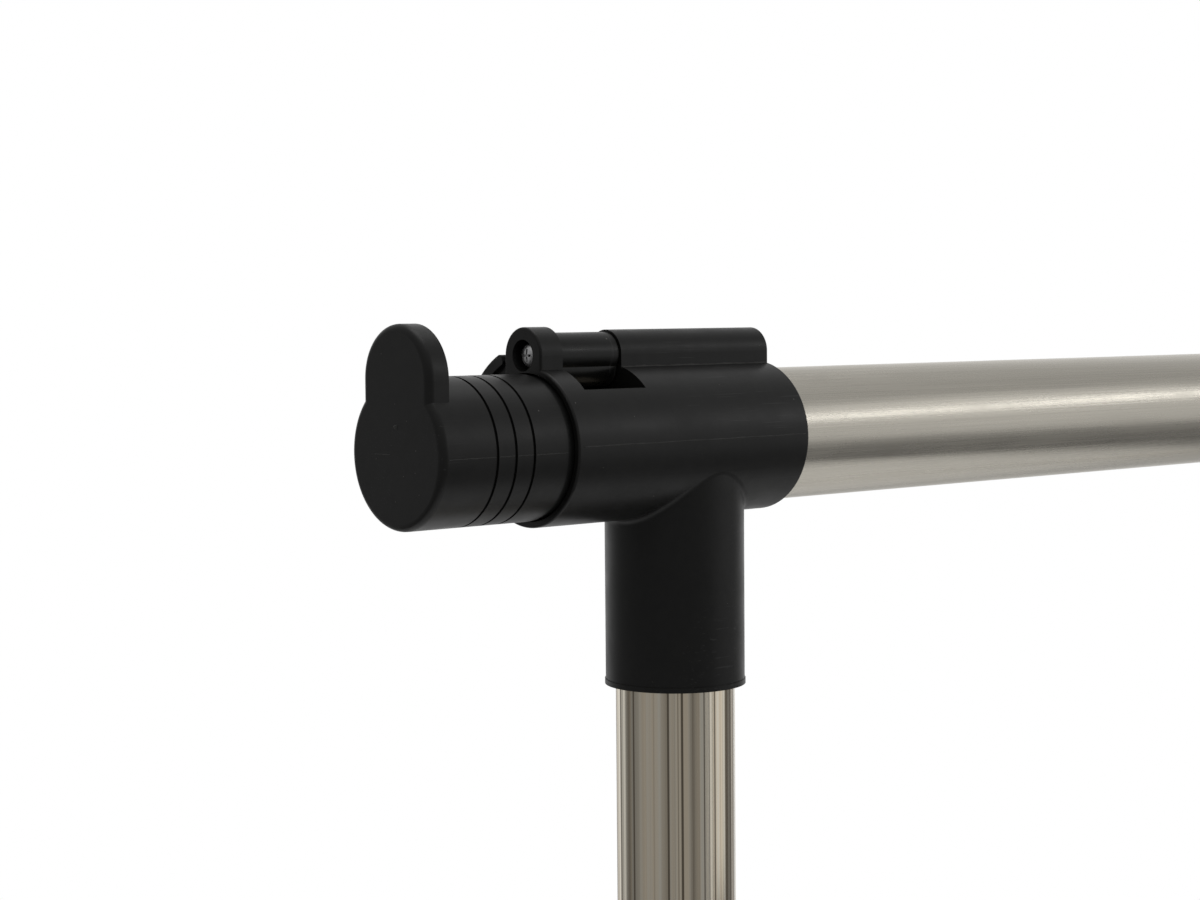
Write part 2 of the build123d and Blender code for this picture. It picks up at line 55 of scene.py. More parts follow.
MM = 0.001
SIDES = ("left", "right")
CORNERS = tuple(f"{end}_{side}" for end in ("front", "back") for side in SIDES)
AXES = {"X": (1, 2, 0), "Y": (2, 0, 1), "Z": (0, 1, 2)}

# Tubes: node, axis and body
WIDE_TUBES = (
    ("rail_tube", "X", "top"),
    ("left_lower_post", "Z", "base"),
    ("right_lower_post", "Z", "base"),
    ("left_foot_tube", "Y", "base"),
    ("right_foot_tube", "Y", "base"),
)
BRIGHT_TUBES = (
    ("left_upper_post", "Z", "top"),
    ("right_upper_post", "Z", "top"),
    ("cross_tube", "X", "base"),
    ("left_arm_tube", "X", "left_arm"),
    ("right_arm_tube", "X", "right_arm"),
)
PLASTIC_NODES = tuple(
    [f"{side}_{name}" for side in SIDES
     for name in ("tee_fitting", "tee_lever", "arm_cap", "height_clamp", "height_lever", "foot_fitting")]
    + [f"{corner}_{name}" for corner in CORNERS for name in ("end_fitting", "castor_frame")]
    + [f"front_{side}_brake_pedal" for side in SIDES]
)
STEEL_NODES = tuple(
    ["castor_stems", "tee_screws", "tee_hinge_screws", "height_hinge_screws", "foot_fitting_screws",
     "end_fitting_screws"]
    + [f"{corner}_castor_axle" for corner in CORNERS]
)
GLIDE_NODES = ("upper_post_glides", "left_arm_glide", "right_arm_glide")

# What like settings share
SIZE = {"min": 0.0, "subtype": "DISTANCE", "unit": "LENGTH"}
PLACE = {"subtype": "DISTANCE", "unit": "LENGTH"}
ANGLE = {"subtype": "ANGLE", "unit": "ROTATION"}
COLOUR = {"subtype": "COLOR", "min": 0.0, "max": 1.0}

# Colours that wear, dust and plating bring
SCUFF = (0.07, 0.07, 0.07)
DUST = (0.20, 0.19, 0.18)
SCRATCHED_STEEL = (0.80, 0.78, 0.74)
RUBBED_STEEL = (0.84, 0.80, 0.73)
WORN_TREAD = (0.11, 0.105, 0.10)
ZINC = ((0.3, (0.60, 0.60, 0.61)), (0.6, (0.85, 0.85, 0.85)), (0.8, (0.94, 0.94, 0.92)))

# How scuffs run on plastic: how often they come along each axis, and how they are turned
STRAY_SCUFFS = ((60.0, 2600.0, 2600.0), (0.3, 0.5, 0.9))
RUBBED_ROUND = ((1900.0, 110.0, 110.0), (0.0, 0.0, 0.0))

# Mesh details
EDGE_STEPS = 4
RIDGE_STEPS = 60
RIDGE_WAVER = 0.35
RIDGE_PROFILE = ((-0.5, -0.6), (-0.42, 0.35), (0.0, 1.0), (0.42, 0.35), (0.5, -0.6))
GATE_PROFILE = ((1.25, -0.2), (1.0, 0.15), (0.82, 0.8), (0.45, 1.0))
GATE_STEPS = 20

# Places of the mould marks, along a clamp's own X unless it says otherwise
LINE_FROM_MOUTH = 1.3 * MM
LINE_FROM_TAIL = 1.2 * MM
BACK_LINE_START = -8.0 * MM
SEAM_FROM_TAIL = 0.6 * MM
SEAM_OUTWARD = (0.0, -0.75, 0.66)
CAP_LINE_FROM_FACE = 1.7 * MM
CAP_LINE_FROM_MOUTH = 1.9 * MM
CAP_LINE_Z = -0.4 * MM
CAP_LINE_SIZE = 0.8
GROOVES = 3
GROOVE_CLEARANCE = 0.45 * MM
GATE_Y, GATE_Z = -0.2 * MM, 5.9 * MM
GATE_HEIGHT = 0.22 * MM
FACE_LINE_Y = (2.0 * MM, 7.6 * MM)
FACE_LINE_SIZE = (0.7, 0.6)

# Screw and rib shapes: faces round them, the crown and slots as shares of the head, and sharp edges
HEAD_FACES, CROWN_RINGS, SHANK_FACES, RIB_FACES = 56, 32, 32, 20
CROWN_WIDTH, CROWN_HEIGHT, SLOT_LENGTH = 1.35, 0.99, 1.15
SCREW_CREASE, RIB_CREASE = 0.55, 0.7

# The room: where the backdrop gives way to the near side, where it dims below the horizon, and
# where the ceiling begins, as shares of a direction along the line of sight or upward
BACKDROP_EDGE = (-0.95, -0.45)
LOW_ROOM = (-0.70, -0.10)
LOW_ROOM_LIGHT = (0.35, 1.0)
CEILING_EDGE = (0.15, 0.8)
FLOOR_TONES = ((0.3, (0.90, 0.90, 0.90)), (0.7, (0.93, 0.93, 0.93)))
FLOOR_GLOW = 0.18

# Softboxes: name, place from the left tee's centre (across, away and above), width, height, power
SOFTBOXES = (
    ("overhead", (0.0, 0.3, 1.5), 1.1, 1.1, 4.5),
    ("rail_strip", (1.7, 0.0, 0.62), 1.6, 0.10, 1.2),
    ("side_softbox", (1.7, -0.15, 0.35), 1.3, 1.5, 2.0),
)


# Sizes and colours

class TubeSettings(bpy.types.PropertyGroup):
    """Sizes and colours of the stainless tubes."""

    wall: FloatProperty(name="Wall", description="Thickness of the tube", default=0.8 * MM, **SIZE)
    edge_round: FloatProperty(name="Edge round", description="Radius of the deburred tube end",
                              default=0.2 * MM, **SIZE)
    segments: IntProperty(name="Segments", description="Faces round the tube", default=160, min=24)
    satin: FloatVectorProperty(name="Satin steel", description="Colour of the brushed tubes",
                               default=(0.66, 0.625, 0.55), **COLOUR)
    bright: FloatVectorProperty(name="Bright steel", description="Colour of the polished tubes",
                                default=(0.88, 0.825, 0.70), **COLOUR)
    # Dark colour painted into the polished tubes' lines as reflection streaks
    painted_streak_colour: FloatVectorProperty(name="Painted reflection streaks", description="Colour in the polished tubes' lines",
                               default=(0.20, 0.165, 0.12), **COLOUR)


class PlasticSettings(bpy.types.PropertyGroup):
    """Colours and finish of the moulded parts."""

    black: FloatVectorProperty(name="Black", description="Colour of the fittings",
                               default=(0.0068, 0.0068, 0.0064), **COLOUR)
    # The raised mould lines are real flash; this colour, lighter than the black, is painted highlight where
    # light catches them
    flash: FloatVectorProperty(name="Flash with painted highlight", description="Colour of the raised mould lines",
                               default=(0.032, 0.032, 0.030), **COLOUR)
    natural: FloatVectorProperty(name="Natural", description="Colour of the glides",
                                 default=(0.55, 0.54, 0.50), **COLOUR)
    wheel: FloatVectorProperty(name="Wheel", description="Colour of the castor wheels",
                               default=(0.016, 0.016, 0.017), **COLOUR)
    roughness: FloatProperty(name="Roughness", description="Mean roughness of the fittings", default=0.38,
                             min=0.0, max=1.0, subtype="FACTOR")


class MouldSettings(bpy.types.PropertyGroup):
    """Sizes of the marks that the moulds leave."""

    line_width: FloatProperty(name="Line width", description="Width of a parting line", default=0.26 * MM,
                              **SIZE)
    line_height: FloatProperty(name="Line height", description="Height of a parting line",
                               default=0.055 * MM, **SIZE)
    gate_radius: FloatProperty(name="Gate radius", description="Radius of the gate mark on an end cap",
                               default=0.55 * MM, **SIZE)
    line_offset: FloatProperty(name="Line offset", description="How far a barrel's line lies above its axis",
                               default=0.8 * MM, **PLACE)
    tail: FloatProperty(name="Tail", description="From a clamp's centre to the end of its barrel",
                        default=27.0 * MM, **SIZE)
    boss_start: FloatProperty(name="Boss start", description="Where the long hinge boss begins",
                              default=-20.0 * MM, **PLACE)
    boss_foot: FloatProperty(name="Boss foot", description="From the tube's axis to the boss's front wall",
                             default=4.3 * MM, **SIZE)
    seam_size: FloatProperty(name="Seam size", description="The boss's seam against a parting line",
                             default=3.6, min=0.0)
    groove_first: FloatProperty(name="First groove", description="The groove nearest an end cap's face",
                                default=-65.4 * MM, **PLACE)
    groove_pitch: FloatProperty(name="Groove pitch", description="From one groove to the next",
                                default=5.0 * MM, **SIZE)


class ScrewSettings(bpy.types.PropertyGroup):
    """Sizes and place of the hinge screws, in a clamp's own frame."""

    head_radius: FloatProperty(name="Head radius", description="Radius of the pan head", default=2.45 * MM,
                               **SIZE)
    head_height: FloatProperty(name="Head height", description="Height of the pan head", default=2.0 * MM,
                               **SIZE)
    shank_radius: FloatProperty(name="Shank radius", description="Radius of the shank", default=1.5 * MM,
                                **SIZE)
    shank_length: FloatProperty(name="Shank length", description="Length under the head",
                                default=46.2 * MM, **SIZE)
    slot_width: FloatProperty(name="Slot width", description="Width of the cross recess",
                              default=0.55 * MM, **SIZE)
    sunk: FloatProperty(name="Sunk", description="How deep the head's top lies in the ear",
                        default=1.1 * MM, **SIZE)
    hinge_y: FloatProperty(name="Hinge Y", description="The hinge behind the tube's axis",
                           default=1.2 * MM, **PLACE)
    hinge_z: FloatProperty(name="Hinge Z", description="The hinge above the tube's axis",
                           default=20.3 * MM, **PLACE)


class CastorSettings(bpy.types.PropertyGroup):
    """Sizes of the spokes in the castor wheels."""

    spokes: IntProperty(name="Spokes", description="Ribs in each dish", default=9, min=3)
    hub_radius: FloatProperty(name="Hub radius", description="Where the spokes begin", default=6.8 * MM,
                              **SIZE)
    dish_radius: FloatProperty(name="Dish radius", description="Where the spokes end", default=18.2 * MM,
                               **SIZE)
    dish_depth: FloatProperty(name="Dish depth", description="Depth of the dish", default=2.0 * MM, **SIZE)
    spoke_width: FloatProperty(name="Spoke width", description="Width of a spoke", default=1.3 * MM, **SIZE)
    spoke_height: FloatProperty(name="Spoke height", description="Height of a spoke", default=1.4 * MM,
                                **SIZE)


class LeverSettings(bpy.types.PropertyGroup):
    """The finger ribs on a cam lever, in its clamp's own frame."""

    ribs: IntProperty(name="Ribs", description="Ribs in a grip", default=6, min=1)
    radius: FloatProperty(name="Radius", description="From the tube's axis to the ribs", default=22.5 * MM,
                          **SIZE)
    middle: FloatProperty(name="Middle", description="The ribs' middle along the tube", default=-28.1 * MM,
                          **PLACE)
    rib_length: FloatProperty(name="Rib length", description="Length of a rib", default=24.0 * MM, **SIZE)
    rib_radius: FloatProperty(name="Rib radius", description="Radius of a rib", default=0.5 * MM, **SIZE)
    first_rib: FloatProperty(name="First rib", description="Angle of the lowest rib",
                             default=math.radians(-14.0), **ANGLE)
    rib_step: FloatProperty(name="Rib step", description="Angle from rib to rib",
                            default=math.radians(4.6), **ANGLE)


class StageSettings(bpy.types.PropertyGroup):
    """The camera, the floor and the lights."""

    lens: FloatProperty(name="Lens", description="Focal length on a 36 mm wide sensor", default=68.15,
                        min=1.0, unit="CAMERA")
    place: FloatVectorProperty(name="Camera place", description="From the left tee's centre",
                               default=(-0.3611, -0.3891, 0.0300), subtype="TRANSLATION", unit="LENGTH")
    yaw: FloatProperty(name="Yaw", description="From +Y towards +X", default=math.radians(41.0), **ANGLE)
    pitch: FloatProperty(name="Pitch", description="Above the horizon", default=math.radians(-3.5), **ANGLE)
    roll: FloatProperty(name="Roll", description="About the line of sight", default=math.radians(-0.48),
                        **ANGLE)
    backdrop: FloatProperty(name="Backdrop", description="Brightness of the far side of the room",
                            default=0.95, min=0.0)
    ceiling: FloatProperty(name="Ceiling", description="Brightness straight above", default=0.44, min=0.0)
    near_side: FloatProperty(name="Near side", description="Brightness of the room behind the viewer",
                             default=0.27, min=0.0)
    floor_radius: FloatProperty(name="Floor radius", description="Radius of the floor", default=1.6,
                                min=1.0, **PLACE)


# Material building blocks

def node_adder(tree):
    """A function that adds a node to a tree, links its inputs or sets them, and returns it."""

    def add(kind, links=(), **values):
        node = tree.nodes.new(kind)
        for key, value in values.items():
            setattr(node, key, value)
        for socket, source in links:
            if hasattr(source, "is_output"):
                tree.links.new(source, node.inputs[socket])
            else:
                node.inputs[socket].default_value = source
        return node

    return add


def new_material(name):
    """A material with its shader, and a function that adds nodes to it."""
    made = bpy.data.materials.new(name)
    made.use_nodes = True
    tree = made.node_tree
    return made, tree, tree.nodes["Principled BSDF"], node_adder(tree)


def ramp(add, value, stops):
    """A colour ramp through the given (place, colour) stops, as a colour output."""
    node = add("ShaderNodeValToRGB", [("Fac", value)])
    elements = node.color_ramp.elements
    for index, (place, colour) in enumerate(stops):
        element = elements[index] if index < 2 else elements.new(place)
        element.position = place
        element.color = (*colour, 1.0)
    return node.outputs["Color"]


def maths(add, operation, first, second=0.0, clamp=False):
    """One arithmetic step, as a value output."""
    return add("ShaderNodeMath", [(0, first), (1, second)], operation=operation, use_clamp=clamp).outputs[0]


def spread(add, value, given, wanted=(0.0, 1.0)):
    """Maps one range of values onto another."""
    links = [("Value", value), ("From Min", given[0]), ("From Max", given[1]), ("To Min", wanted[0]),
             ("To Max", wanted[1])]
    return add("ShaderNodeMapRange", links).outputs["Result"]


def noise(add, where, scale, detail=2.0, rough=0.5):
    """Noise at a place, as a value output."""
    links = [("Vector", where), ("Scale", scale), ("Detail", detail), ("Roughness", rough)]
    return add("ShaderNodeTexNoise", links).outputs["Fac"]


def blend_colour(add, share, first, second):
    """Mixes two colours."""
    node = add("ShaderNodeMix", data_type="RGBA")
    tree = node.id_data
    for socket, source in ((node.inputs[0], share), (node.inputs[6], first), (node.inputs[7], second)):
        if hasattr(source, "is_output"):
            tree.links.new(source, socket)
        else:
            socket.default_value = (*source, 1.0) if hasattr(source, "__len__") else source
    return node.outputs[2]


def bump(add, height, strength, distance, below=None):
    """A bump on top of another, as a normal output."""
    links = [("Height", height), ("Strength", strength), ("Distance", distance)]
    if below is not None:
        links.append(("Normal", below))
    return add("ShaderNodeBump", links).outputs["Normal"]


def specks(add, where, scale, radius, share):
    """Small round specks in some cells of a grid of random points, 1 on a speck."""
    cells = add("ShaderNodeTexVoronoi", [("Vector", where), ("Scale", scale), ("Randomness", 1.0)])
    near = maths(add, "LESS_THAN", cells.outputs["Distance"], radius)
    pick = add("ShaderNodeSeparateColor", [("Color", cells.outputs["Color"])])
    chosen = maths(add, "LESS_THAN", pick.outputs["Red"], share)
    return maths(add, "MULTIPLY", near, chosen)


def moulded(name, colour, roughness, dust=1.0, scuffs=STRAY_SCUFFS):
    """Moulded plastic: fine grain, a faint swirl of gloss, dust, and hairline scuffs that run one way."""
    made, tree, shader, add = new_material(name)
    where = add("ShaderNodeTexCoord").outputs["Object"]
    grain = noise(add, where, scale=5200.0)
    swirl = noise(add, where, scale=70.0, detail=4.0, rough=0.62)
    patch = noise(add, where, scale=420.0, detail=3.0, rough=0.55)
    stroke, slant = scuffs
    stretched = add("ShaderNodeMapping", [("Vector", where), ("Rotation", slant), ("Scale", stroke)])
    streaks = noise(add, stretched.outputs["Vector"], scale=1.0, rough=0.4)
    lines = spread(add, streaks, (0.70 - 0.05 * dust, 0.76 - 0.05 * dust))
    worn = spread(add, noise(add, where, scale=38.0), (0.60 - 0.08 * dust, 0.66 - 0.04 * dust))
    scuff = maths(add, "MULTIPLY", lines, worn)
    speck = maths(add, "MAXIMUM", specks(add, where, 210.0, 0.045, 0.15 * dust),
                  specks(add, where, 700.0, 0.07, 0.02 * dust))
    mottle = blend_colour(add, spread(add, patch, (0.35, 0.7)), colour, tuple(c * 1.35 for c in colour))
    scuffed = blend_colour(add, maths(add, "MULTIPLY", scuff, 0.30 * dust), mottle, SCUFF)
    dusty = blend_colour(add, maths(add, "MULTIPLY", speck, 0.7), scuffed, DUST)
    tree.links.new(dusty, shader.inputs["Base Color"])
    plain_gloss = spread(add, swirl, (0.3, 0.7), (roughness - 0.06, roughness + 0.08))
    gloss = maths(add, "ADD", plain_gloss, maths(add, "MULTIPLY", speck, 0.3), clamp=True)
    tree.links.new(gloss, shader.inputs["Roughness"])
    waved = bump(add, swirl, 0.12, 0.15 * MM)
    grained = bump(add, grain, 0.22, 0.012 * MM, waved)
    raised = bump(add, speck, 0.35, 0.03 * MM, grained)
    tree.links.new(raised, shader.inputs["Normal"])
    shader.inputs["IOR"].default_value = 1.38
    return made


def round_tube_place(add, around, along):
    """A place on a tube's own map that closes on itself round the tube."""
    flat = add("ShaderNodeUVMap", uv_map="tube").outputs["UV"]
    parts = add("ShaderNodeSeparateXYZ", [("Vector", flat)])
    angle = maths(add, "MULTIPLY", parts.outputs["X"], math.tau)
    across = maths(add, "MULTIPLY", maths(add, "COSINE", angle), around)
    up = maths(add, "MULTIPLY", maths(add, "SINE", angle), around)
    length = maths(add, "MULTIPLY", parts.outputs["Y"], along)
    return add("ShaderNodeCombineXYZ", [("X", across), ("Y", up), ("Z", length)]).outputs["Vector"]


def tube_noise(add, around, along, detail, rough=0.5):
    """Noise on a tube's own map: how often it changes round the tube and along it."""
    return noise(add, round_tube_place(add, around, along), 1.0, detail, rough)


def satin_steel(colour):
    """Brushed stainless tube: hairlines along it, a slow change of gloss, a few smears and scratches."""
    made, tree, shader, add = new_material("satin_steel")
    hair = tube_noise(add, around=46.0, along=9.0, detail=5.0, rough=0.7)
    band = tube_noise(add, around=2.2, along=1.6, detail=3.0)
    smear = tube_noise(add, around=3.0, along=34.0, detail=4.0, rough=0.6)
    scratch = spread(add, tube_noise(add, around=120.0, along=26.0, detail=1.0), (0.72, 0.78))
    tone = blend_colour(add, spread(add, hair, (0.25, 0.75)), tuple(c * 0.86 for c in colour),
                        tuple(min(1.0, c * 1.10) for c in colour))
    toned = blend_colour(add, spread(add, band, (0.35, 0.65), (0.0, 0.35)), tone,
                         tuple(c * 0.88 for c in colour))
    scratched = blend_colour(add, maths(add, "MULTIPLY", scratch, 0.35), toned, SCRATCHED_STEEL)
    tree.links.new(scratched, shader.inputs["Base Color"])
    gloss = maths(add, "ADD", spread(add, smear, (0.3, 0.7), (0.22, 0.30)),
                  spread(add, hair, (0.3, 0.7), (-0.02, 0.04)))
    tree.links.new(gloss, shader.inputs["Roughness"])
    brushed = bump(add, hair, 0.5, 0.03 * MM)
    tree.links.new(bump(add, band, 0.25, 0.25 * MM, brushed), shader.inputs["Normal"])
    shader.inputs["Metallic"].default_value = 1.0
    return made


def bright_steel(colour, painted_streak_colour):
    """Polished stainless tube: broad, thin and a few deep lines from drawing, on slightly warmer bands. The
    lines' dark colour and the warmer bands are painted reflection streaks; the broad and thin lines also bump
    the surface, and all lines change its gloss.
    """
    made, tree, shader, add = new_material("bright_steel")
    broad = tube_noise(add, around=2.7, along=0.05, detail=2.0, rough=0.55)
    fine = tube_noise(add, around=22.0, along=0.15, detail=3.0, rough=0.65)
    hair = tube_noise(add, around=150.0, along=2.0, detail=2.0, rough=0.6)
    smear = tube_noise(add, around=2.5, along=40.0, detail=4.0, rough=0.65)
    deep = tube_noise(add, around=11.0, along=0.10, detail=1.0)
    tint = tube_noise(add, around=8.0, along=0.06, detail=1.0)
    # The lines' dark colour and the warm bands below are painted reflection streaks; the gloss and bumps from
    # the same noises are the tube's own surface
    wide_lines = spread(add, broad, (0.44, 0.58), (0.0, 0.72))
    thin_lines = spread(add, fine, (0.52, 0.66), (0.0, 0.30))
    deep_lines = spread(add, deep, (0.59, 0.64))
    lines = maths(add, "MAXIMUM", maths(add, "ADD", wide_lines, thin_lines, clamp=True), deep_lines)
    warm = (colour[0], colour[1] * 0.93, colour[2] * 0.85)
    tone = blend_colour(add, lines, blend_colour(add, spread(add, tint, (0.40, 0.60)), colour, warm), painted_streak_colour)
    rubbed = blend_colour(add, spread(add, hair, (0.5, 0.8), (0.0, 0.30)), tone, RUBBED_STEEL)
    tree.links.new(rubbed, shader.inputs["Base Color"])
    gloss = maths(add, "ADD", spread(add, lines, (0.0, 1.0), (0.10, 0.22)),
                  spread(add, smear, (0.35, 0.75), (0.0, 0.05)))
    tree.links.new(gloss, shader.inputs["Roughness"])
    drawn_lines = bump(add, fine, 0.45, 0.10 * MM)
    tree.links.new(bump(add, broad, 0.8, 0.8 * MM, drawn_lines), shader.inputs["Normal"])
    shader.inputs["Metallic"].default_value = 1.0
    return made


def plated_steel():
    """Zinc-plated screws, stems and axles: bright, a little blotchy, with tool marks."""
    made, tree, shader, add = new_material("plated_steel")
    where = add("ShaderNodeTexCoord").outputs["Object"]
    blotch = noise(add, where, scale=700.0, detail=4.0, rough=0.6)
    marks = noise(add, where, scale=3800.0, rough=0.6)
    tree.links.new(ramp(add, blotch, ZINC), shader.inputs["Base Color"])
    tree.links.new(spread(add, blotch, (0.3, 0.7), (0.28, 0.46)), shader.inputs["Roughness"])
    tree.links.new(bump(add, marks, 0.5, 0.03 * MM), shader.inputs["Normal"])
    shader.inputs["Metallic"].default_value = 1.0
    return made


def moulded_wheel(colour):
    """Hard castor wheels: black with greyed, scratched treads."""
    made, tree, shader, add = new_material("moulded_wheel")
    where = add("ShaderNodeTexCoord").outputs["Object"]
    grit = noise(add, where, scale=900.0, detail=5.0, rough=0.7)
    dirt = noise(add, where, scale=120.0, detail=3.0, rough=0.6)
    wear = maths(add, "MULTIPLY", spread(add, grit, (0.5, 0.75)), spread(add, dirt, (0.4, 0.7), (0.1, 0.8)))
    tree.links.new(blend_colour(add, wear, colour, WORN_TREAD), shader.inputs["Base Color"])
    tree.links.new(spread(add, grit, (0.3, 0.7), (0.38, 0.6)), shader.inputs["Roughness"])
    tree.links.new(bump(add, grit, 0.3, 0.05 * MM), shader.inputs["Normal"])
    return made


MADE = set()


def finish(name):
    """The stand's materials, each made once. None has the name of a material that comes with the frame."""
    if name in MADE:
        return bpy.data.materials[name]
    scene = bpy.context.scene
    tubes, plastic = scene.valet_tubes, scene.valet_plastic
    black, rough = tuple(plastic.black), plastic.roughness
    makers = {
        "satin_steel": lambda: satin_steel(tuple(tubes.satin)),
        "bright_steel": lambda: bright_steel(tuple(tubes.bright), tuple(tubes.painted_streak_colour)),
        "moulded_black": lambda: moulded("moulded_black", black, rough),
        "rubbed_black": lambda: moulded("rubbed_black", black, rough - 0.08, 2.2, RUBBED_ROUND),
        # The mould lines' lighter colour is painted highlight on real ridges
        "flash_edge": lambda: moulded("flash_edge", tuple(plastic.flash), rough + 0.1, 0.5),
        "moulded_natural": lambda: moulded("moulded_natural", tuple(plastic.natural), 0.5, 0.4),
        "moulded_wheel": lambda: moulded_wheel(tuple(plastic.wheel)),
        "plated_steel": plated_steel,
    }
    made = makers[name]()
    if made.name != name:
        raise RuntimeError(f"material {name} became {made.name}: the name is taken")
    MADE.add(name)
    return made


# Mesh building blocks

def mesh_piece(name, shape, material, body, nodes=()):
    """Turns a bmesh into a piece that rides on a body and may stand for CAD nodes."""
    mesh = bpy.data.meshes.new(name)
    shape.to_mesh(mesh)
    shape.free()
    return keep(name, mesh, material, body, nodes)


def keep(name, mesh, material, body, nodes=()):
    """Places a finished mesh as a piece."""
    mesh.materials.clear()
    mesh.materials.append(finish(material))
    piece = bpy.data.objects.new(name, mesh)
    bpy.context.scene.collection.objects.link(piece)
    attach(piece, body)
    if nodes:
        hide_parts(*nodes)
    return piece


def frame_matrix(centre, axis):
    """Turns a shape made along Z onto another axis and moves it."""
    first, second, third = AXES[axis]
    turned = Matrix.Identity(4)
    turned.col[0] = [*[1.0 if i == first else 0.0 for i in range(3)], 0.0]
    turned.col[1] = [*[1.0 if i == second else 0.0 for i in range(3)], 0.0]
    turned.col[2] = [*[1.0 if i == third else 0.0 for i in range(3)], 0.0]
    return Matrix.Translation(centre) @ turned


def turned_ring(shape, profile, segments):
    """Adds a closed ring of faces: a closed outline of (radius, height) points turned about Z."""
    layer = shape.loops.layers.uv.new("tube")
    rings = []
    for radius, height in profile:
        angles = [math.tau * step / segments for step in range(segments)]
        rings.append([shape.verts.new((radius * math.cos(a), radius * math.sin(a), height)) for a in angles])
    for index, lower in enumerate(rings):
        following = (index + 1) % len(rings)
        upper = rings[following]
        heights = (profile[index][1], profile[following][1])
        for step in range(segments):
            after = (step + 1) % segments
            face = shape.faces.new((lower[step], lower[after], upper[after], upper[step]))
            face.smooth = True
            around = (step / segments, (step + 1) / segments)
            for loop, (right, top) in zip(face.loops, ((0, 0), (1, 0), (1, 1), (0, 1))):
                loop[layer].uv = (around[right], heights[top])


def quarter(across, along, radius, start):
    """Points of a quarter circle in a profile, from a starting angle in degrees."""
    angles = [math.radians(start + 90 * step / EDGE_STEPS) for step in range(EDGE_STEPS + 1)]
    return [(across + radius * math.cos(angle), along + radius * math.sin(angle)) for angle in angles]


def tube_profile(radius, wall, length, edge):
    """The outline of a tube's wall from its outside bottom edge round to its inside, rounded at both ends."""
    low, high = -length / 2, length / 2
    inner = radius - wall
    corners = ((radius - edge, low + edge, -90), (radius - edge, high - edge, 0),
               (inner + edge, high - edge, 90), (inner + edge, low + edge, 180))
    return [point for across, along, start in corners for point in quarter(across, along, edge, start)]


def add_tube(node, axis, body, material):
    """A finely turned tube in the place of a CAD tube."""
    settings = bpy.context.scene.valet_tubes
    low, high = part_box(node)
    length_axis = AXES[axis][2]
    length = (high - low)[length_axis]
    radius = (high - low)[AXES[axis][0]] / 2
    shape = bmesh.new()
    turned_ring(shape, tube_profile(radius, settings.wall, length, settings.edge_round), settings.segments)
    shape.transform(frame_matrix((low + high) / 2, axis))
    bmesh.ops.recalc_face_normals(shape, faces=shape.faces)
    return mesh_piece(f"{node}_skin", shape, material, body, [node])


def dress(node, material):
    """Gives a carried-over CAD node its finish."""
    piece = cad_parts[node]
    piece.data.materials.clear()
    piece.data.materials.append(finish(material))
    for polygon in piece.data.polygons:
        polygon.material_index = 0


def skin(shape, rings):
    """Joins rings of points, one to the next, and closes both ends."""
    for lower, upper in zip(rings, rings[1:]):
        for index in range(len(lower)):
            after = (index + 1) % len(lower)
            shape.faces.new((lower[index], lower[after], upper[after], upper[index]))
    shape.faces.new(list(reversed(rings[0])))
    shape.faces.new(rings[-1])


def ridge(shape, start, end, outward, width, height):
    """Adds a thin raised line between two points, uneven as moulding flash is."""
    along = (end - start).normalized()
    side = along.cross(outward).normalized()
    rings = []
    for step in range(RIDGE_STEPS + 1):
        share = step / RIDGE_STEPS
        middle = start.lerp(end, share)
        rise = 1.0 + RIDGE_WAVER * math.sin(41.0 * share + 1.3) * math.sin(97.0 * share)
        drift = RIDGE_WAVER * 0.4 * width * math.sin(23.0 * share + 0.7)
        ring = []
        for across, up in RIDGE_PROFILE:
            offset = side * (across * width * rise + drift) + outward * (up * height * rise)
            ring.append(shape.verts.new(middle + offset))
        rings.append(ring)
    skin(shape, rings)


def way_out(side):
    """Which way along X is away from the stand's middle."""
    return -1.0 if side == "left" else 1.0


def clamp_frame(side, fitting):
    """A clamp's own frame: the tube on X with its mouth at -X, the hinge above and the lever behind."""
    way = way_out(side)
    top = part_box(f"{side}_{fitting}")[1].z
    post_low, post_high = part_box(f"{side}_upper_post")
    post_x = (post_low.x + post_high.x) / 2
    if fitting == "tee_fitting":
        rail_low, rail_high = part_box("rail_tube")
        columns = ((-way, 0, 0), (0, 1, 0), (0, 0, 1))
        origin = Vector((post_x, 0.0, (rail_low.z + rail_high.z) / 2))
    else:
        columns = ((0, 0, -1), (0, -1, 0), (way, 0, 0))
        origin = Vector((post_x, 0.0, top + clamp_mouth()))
    turned = Matrix(columns).transposed().to_4x4()
    return Matrix.Translation(origin) @ turned


def clamp_mouth():
    """How far a clamp's mouth lies from its centre, along its own X."""
    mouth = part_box("left_tee_fitting")[0].x
    post_low, post_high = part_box("left_upper_post")
    return mouth - (post_low.x + post_high.x) / 2


def barrel_radius():
    """The outside of a clamp's barrel."""
    low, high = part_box("left_tee_fitting")
    return (high.y - low.y) / 2


def on_barrel(radius, x, z, side=-1.0):
    """A point on a round body about X, and the way out of it: in front for -1, behind for 1."""
    outward = Vector((0.0, side * math.sqrt(radius * radius - z * z), z)) / radius
    return Vector((x, 0.0, 0.0)) + outward * radius, outward


def parting_line(shape, radius, x0, x1, z, settings, side=-1.0, size=1.0):
    """Adds the raised line that a mould's two halves leave along a round body."""
    start, outward = on_barrel(radius, x0, z, side)
    end, _ = on_barrel(radius, x1, z, side)
    ridge(shape, start, end, outward, settings.line_width * size, settings.line_height * size)


